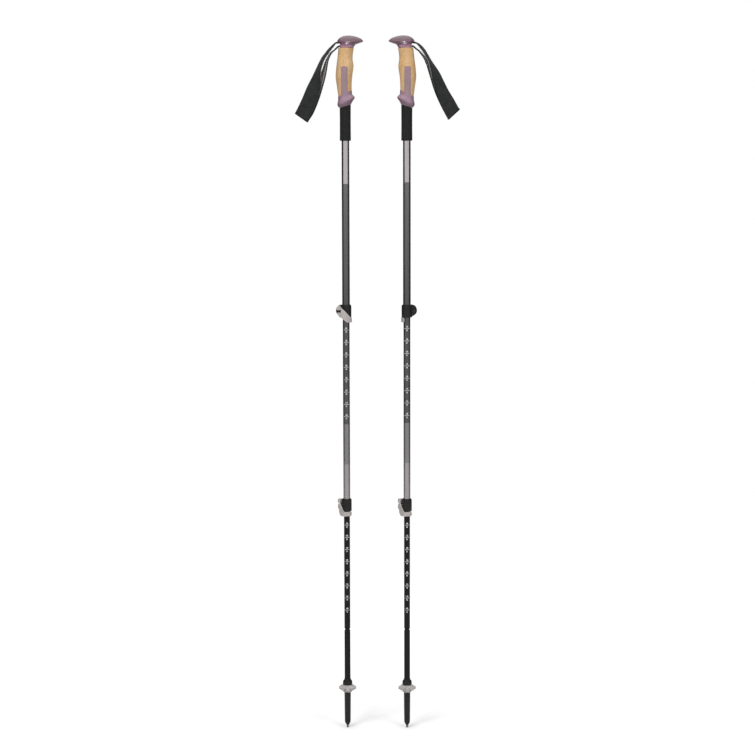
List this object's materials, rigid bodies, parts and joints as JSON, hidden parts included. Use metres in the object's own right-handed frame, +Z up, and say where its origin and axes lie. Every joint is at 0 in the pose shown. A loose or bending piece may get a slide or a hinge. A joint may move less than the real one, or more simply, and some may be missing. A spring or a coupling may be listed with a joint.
{
  "type": "trekking poles",
  "caption": "Pair of telescoping trekking poles with cork grips, wrist straps, lever locks, snow baskets and hard tips.",
  "frame": {"origin": "where a hand holds the left pole: on its axis, half way up the cork", "axes": "+Z up along the poles, +X from the left pole's axis along its beak towards the right pole"},
  "size_m": [0.3292, 0.0396, 1.399],
  "materials": {
    "cork": "ground cork",
    "purple_rubber": "satin moulded",
    "black_foam": "matte foam",
    "black_webbing": "woven",
    "black_plastic": "moulded",
    "satin_lever": "satin",
    "upper_tube": "bare at the top, dark below",
    "middle_tube": "anodised",
    "lower_tube": "satin black",
    "steel": "plated",
    "pale_plastic": "translucent",
    "carbide": "ground"
  },
  "bodies": {
    "left_upper": {"left_upper_shaft": "upper_tube", "left_grip_core": "black_plastic", "left_cork_grip": "cork", "left_grip_head": "purple_rubber", "left_grip_collar": "purple_rubber", "left_foam_sleeve": "black_foam", "left_strap_pin": "steel", "left_strap_anchor": "black_webbing", "left_upper_clamp": "black_plastic", "left_upper_bolt": "steel", "left_upper_adjuster": "steel", "left_upper_hinge_pin": "steel"},
    "left_strap": {"left_wrist_strap": "black_webbing"},
    "left_wedge": {"left_strap_wedge": "black_plastic"},
    "left_upper_lock_lever": {"left_upper_lever": "satin_lever"},
    "left_middle": {"left_middle_shaft": "middle_tube", "left_middle_guide_bush": "black_plastic", "left_lower_clamp": "black_plastic", "left_lower_bolt": "steel", "left_lower_adjuster": "steel", "left_lower_hinge_pin": "steel"},
    "left_lower_lock_lever": {"left_lower_lever": "satin_lever"},
    "left_lower": {"left_lower_shaft": "lower_tube", "left_lower_guide_bush": "black_plastic", "left_tip_holder": "black_plastic", "left_carbide_tip": "carbide"},
    "left_basket_disc": {"left_basket": "pale_plastic"},
    "right_upper": {"right_upper_shaft": "upper_tube", "right_grip_core": "black_plastic", "right_cork_grip": "cork", "right_grip_head": "purple_rubber", "right_grip_collar": "purple_rubber", "right_foam_sleeve": "black_foam", "right_strap_pin": "steel", "right_strap_anchor": "black_webbing", "right_upper_clamp": "black_plastic", "right_upper_bolt": "steel", "right_upper_adjuster": "steel", "right_upper_hinge_pin": "steel"},
    "right_strap": {"right_wrist_strap": "black_webbing"},
    "right_wedge": {"right_strap_wedge": "black_plastic"},
    "right_upper_lock_lever": {"right_upper_lever": "satin_lever"},
    "right_middle": {"right_middle_shaft": "middle_tube", "right_middle_guide_bush": "black_plastic", "right_lower_clamp": "black_plastic", "right_lower_bolt": "steel", "right_lower_adjuster": "steel", "right_lower_hinge_pin": "steel"},
    "right_lower_lock_lever": {"right_lower_lever": "satin_lever"},
    "right_lower": {"right_lower_shaft": "lower_tube", "right_lower_guide_bush": "black_plastic", "right_tip_holder": "black_plastic", "right_carbide_tip": "carbide"},
    "right_basket_disc": {"right_basket": "pale_plastic"}
  },
  "joints": [
    {"name": "pair_apart", "type": "slide", "parent": "left_upper", "child": "right_upper", "axis": [1, 0, 0], "range_m": [0, 0.4]},
    {"name": "left_strap_swing", "type": "hinge", "parent": "left_upper", "child": "left_strap", "pos_m": [-0.0176, 0, 0.0561], "axis": [0, 1, 0], "range_deg": [0, 60]},
    {"name": "left_wedge_release", "type": "slide", "parent": "left_upper", "child": "left_wedge", "axis": [1, 0, 0], "range_m": [0, 0.003]},
    {"name": "left_upper_lock", "type": "hinge", "parent": "left_upper", "child": "left_upper_lock_lever", "pos_m": [-0.015, -0.0101, -0.4737], "axis": [0, 0, -1], "range_deg": [0, 130]},
    {"name": "left_middle_slide", "type": "slide", "parent": "left_upper", "child": "left_middle", "axis": [0, 0, 1], "range_m": [0, 0.35]},
    {"name": "left_lower_lock", "type": "hinge", "parent": "left_middle", "child": "left_lower_lock_lever", "pos_m": [-0.01343, 0.0111, -0.8666], "axis": [0, 0, -1], "range_deg": [0, 130]},
    {"name": "left_lower_slide", "type": "slide", "parent": "left_middle", "child": "left_lower", "axis": [0, 0, 1], "range_m": [0, 0.33]},
    {"name": "left_basket_unscrew", "type": "hinge", "parent": "left_lower", "child": "left_basket_disc", "pos_m": [0, 0, -1.2399], "axis": [0, 0, 1], "range_deg": [0, 360]},
    {"name": "right_strap_swing", "type": "hinge", "parent": "right_upper", "child": "right_strap", "pos_m": [0.1391, -0.002, 0.0561], "axis": [0, -1, 0], "range_deg": [0, 60]},
    {"name": "right_wedge_release", "type": "slide", "parent": "right_upper", "child": "right_wedge", "axis": [-1, 0, 0], "range_m": [0, 0.003]},
    {"name": "right_upper_lock", "type": "hinge", "parent": "right_upper", "child": "right_upper_lock_lever", "pos_m": [0.1365, 0.0081, -0.4737], "axis": [0, 0, -1], "range_deg": [0, 130]},
    {"name": "right_middle_slide", "type": "slide", "parent": "right_upper", "child": "right_middle", "axis": [0, 0, 1], "range_m": [0, 0.35]},
    {"name": "right_lower_lock", "type": "hinge", "parent": "right_middle", "child": "right_lower_lock_lever", "pos_m": [0.10807, 0.0091, -0.8666], "axis": [0, 0, -1], "range_deg": [0, 130]},
    {"name": "right_lower_slide", "type": "slide", "parent": "right_middle", "child": "right_lower", "axis": [0, 0, 1], "range_m": [0, 0.33]},
    {"name": "right_basket_unscrew", "type": "hinge", "parent": "right_lower", "child": "right_basket_disc", "pos_m": [0.1215, -0.002, -1.2399], "axis": [0, 0, 1], "range_deg": [0, 360]}
  ]
}
